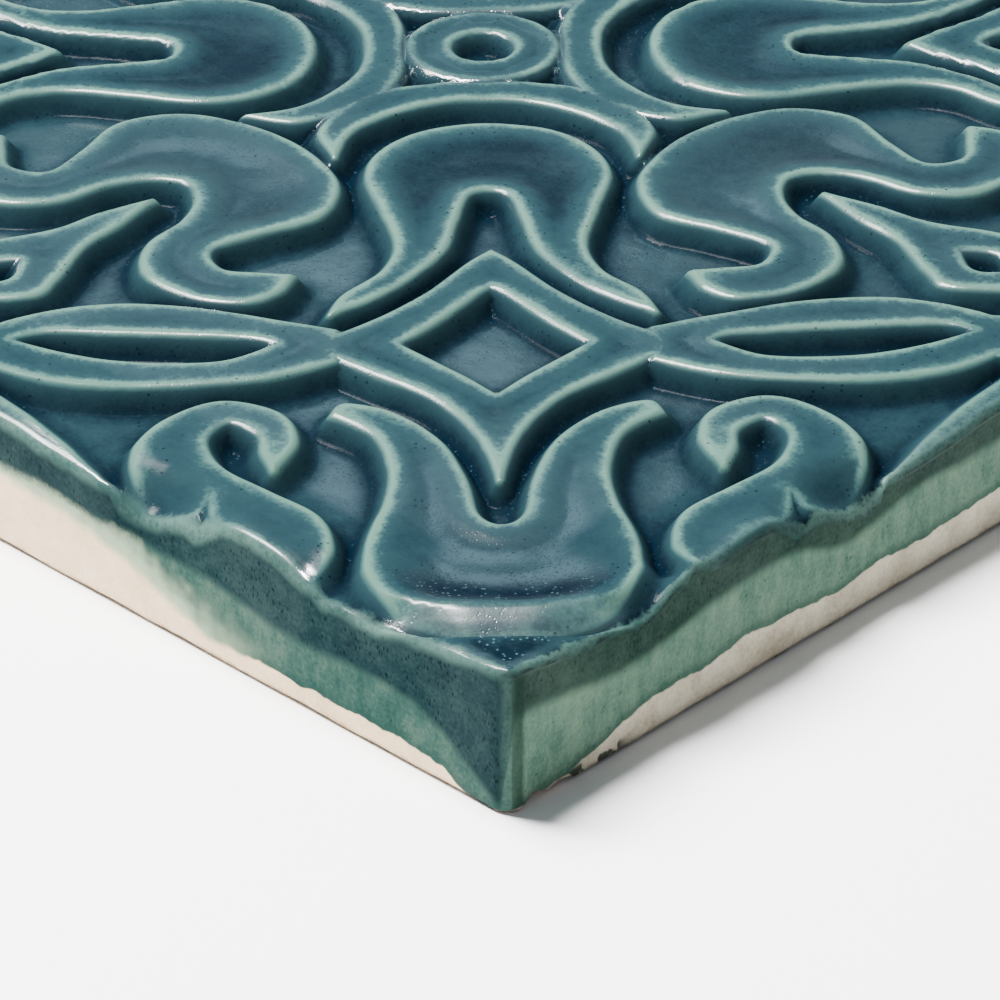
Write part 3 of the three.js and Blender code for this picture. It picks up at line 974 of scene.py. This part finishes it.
def shineOf(m, tops):
    crest, steep, inset = m.attribute("crestDistance"), m.attribute("steep"), m.attribute("inset")
    fromCorner = m.attribute("fromCorner")
    shine = m.spread(steep, *lustre["wallSlope"], lustre["level"], lustre["wall"])
    roll = m.times(m.between(steep, *lustre["rollSlope"]), m.spread(crest, -1.2, -0.4))
    shine = m.scaled(shine, roll, lustre["crestRoll"])
    shine = m.times(shine, m.spread(m.attribute("overRim"), 0.25, -0.45, 1.0, lustre["side"]))
    foot = m.scaled(m.between(crest, -4.2, -1.2, -0.9, -0.3), m.attribute("thinFront"), 0.2)
    shine = m.scaled(shine, m.most(foot, m.times(m.attribute("pool"), 0.8)), lustre["foot"])
    shine = m.scaled(shine, m.spread(m.attribute("sunk"), 0.1, -0.3), lustre["top"])
    shine = m.scaled(shine, tops, lustre["innerTop"])
    quiet = m.times(m.between(fromCorner, *lustre["quietOnRight"]), m.attribute("rightSide"))
    for stretch in lustre["quietPlaces"]:
        quiet = m.most(quiet, m.between(fromCorner, *stretch))
    shine = m.scaled(shine, m.times(quiet, m.spread(inset, *lustre["quietInset"])), lustre["quiet"])
    # the slope from the rim down into the face, apart from the corner tulip's front
    offTulip = m.most(m.spread(crest, 0.4, -0.1), m.spread(fromCorner, 12.0, 14.0))
    slope = m.times(m.spread(inset, 1.1, 1.8), m.spread(inset, 5.0, 3.8), offTulip)
    farSlope = m.times(m.spread(fromCorner, 14.0, 18.0), m.between(inset, 1.1, 1.8, 9.5, 12.0))
    return m.scaled(shine, m.most(slope, farSlope), lustre["rimSlope"])


def glazeMaterial():
    m = Nodes("glazedBody")
    # streaks and pits are drawn out downwards
    streak = m.tree.nodes.new("ShaderNodeMapping")
    m.put(streak.inputs["Vector"], m.place)
    streak.inputs["Scale"].default_value = (1, 1, 0.45)
    m.noise("streaks", streak.outputs["Vector"])
    holes = m.specks("holes", m.spread(m.noise("holeGroups"), 0.50, 0.62))
    pits = m.specks("pits", m.spread(m.noise("pitGroups"), 0.40, 0.52), streak.outputs["Vector"])
    tops = innerTops(m)
    overRim = m.attribute("overRim")

    footLine = m.jitter(m.attribute("overBare"), ("footLine", 1.6), ("grain", 0.8))
    bare = m.spread(m.math("DIVIDE", footLine, m.plus(0.10, m.attribute("wash"), 0.6)), 1.0, -1.0)
    sides = m.mix(bare, glazedSides(m, holes, pits, footLine), clayColour(m))
    colour = m.mix(m.spread(overRim, -0.1, -0.7), faceColour(m, tops, holes), sides)
    m.put(m.shader.inputs["Base Color"], m.mix(lipShare(m), colour, thinColour(m)))

    gloss = m.plus(m.spread(m.jitter(0.5, ("cloud", 1.0)), 0.2, 0.8, 0.12, 0.20),
                   m.spread(m.attribute("sunk"), 0.1, -0.3), 0.10)
    gloss = m.math("ADD", gloss, m.spread(overRim, 0.2, -0.6, 0.0, 0.14))
    m.put(m.shader.inputs["Roughness"], m.most(gloss, m.times(bare, lustre["bareRoughness"])))
    m.shader.inputs["IOR"].default_value = lustre["ior"]
    m.put(m.shader.inputs["Specular IOR Level"], shineOf(m, tops))

    relief = m.plus(m.times(m.noise("swell"), 0.45), m.noise("fine"), 0.2)
    relief = m.plus(relief, m.noise("dimples"), 0.35)
    relief = m.plus(relief, m.math("ADD", pits, holes), -0.25)
    relief = m.plus(relief, bare, m.times(m.noise("clayGrain"), 3.0))
    bump = m.tree.nodes.new("ShaderNodeBump")
    bump.inputs["Strength"].default_value = lustre["bumpStrength"]
    bump.inputs["Distance"].default_value = lustre["bumpDistance"]
    m.put(bump.inputs["Height"], relief)
    m.put(m.shader.inputs["Normal"], bump.outputs["Normal"])
    return m.material


body = buildTile()
body.data.materials.append(glazeMaterial())
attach(body, "root")
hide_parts("tile")
print("tile dressed")


# Floor and light: each light has a size and a place in m, a power in W and a colour
studio = {
    "floorReach": 3.0,
    "floorColour": (0.88, 0.875, 0.865),
    "floorRoughness": 0.7,
    "skyColour": (0.86, 0.92, 1.0),
    "skyStrength": 0.30,
    "lights": {
        "softbox": ((0.34, 0.36), (-0.36, -0.095, 0.84), 46.0, (1.0, 1.0, 1.0)),
        "overhead": ((0.13, 0.13), (-0.163, -0.092, 0.93), 17.0, (1.0, 1.0, 1.0)),
        "window": ((0.34, 0.34), (-0.85, -0.40, 1.05), 28.0, (1.0, 1.0, 0.98)),
        "backPanel": ((0.50, 0.26), (-0.84, 0.58, 0.76), 1.3, (0.55, 0.85, 1.0)),
    },
}


def addLight(name, size, place, power, colour):
    data = bpy.data.lights.new(name, "AREA")
    data.shape = "RECTANGLE"
    data.size, data.size_y = size
    data.energy = power
    data.color = colour
    light = bpy.data.objects.new(name, data)
    bpy.context.collection.objects.link(light)
    light.location = Vector(place)
    light.rotation_euler = (-light.location).to_track_quat("-Z", "Y").to_euler()


def setStudio():
    bm = bmesh.new()
    bmesh.ops.create_grid(bm, x_segments=1, y_segments=1, size=studio["floorReach"])
    data = bpy.data.meshes.new("floor")
    bm.to_mesh(data)
    bm.free()
    floor = bpy.data.objects.new("floor", data)
    bpy.context.collection.objects.link(floor)
    paper = bpy.data.materials.new("floor")
    paper.use_nodes = True
    shader = paper.node_tree.nodes["Principled BSDF"]
    shader.inputs["Base Color"].default_value = (*studio["floorColour"], 1)
    shader.inputs["Roughness"].default_value = studio["floorRoughness"]
    data.materials.append(paper)

    world = bpy.data.worlds.new("studio")
    world.use_nodes = True
    sky = world.node_tree.nodes["Background"]
    sky.inputs["Color"].default_value = (*studio["skyColour"], 1)
    sky.inputs["Strength"].default_value = studio["skyStrength"]
    bpy.context.scene.world = world
    for name, settings in studio["lights"].items():
        addLight(name, *settings)


setStudio()
print("studio set")
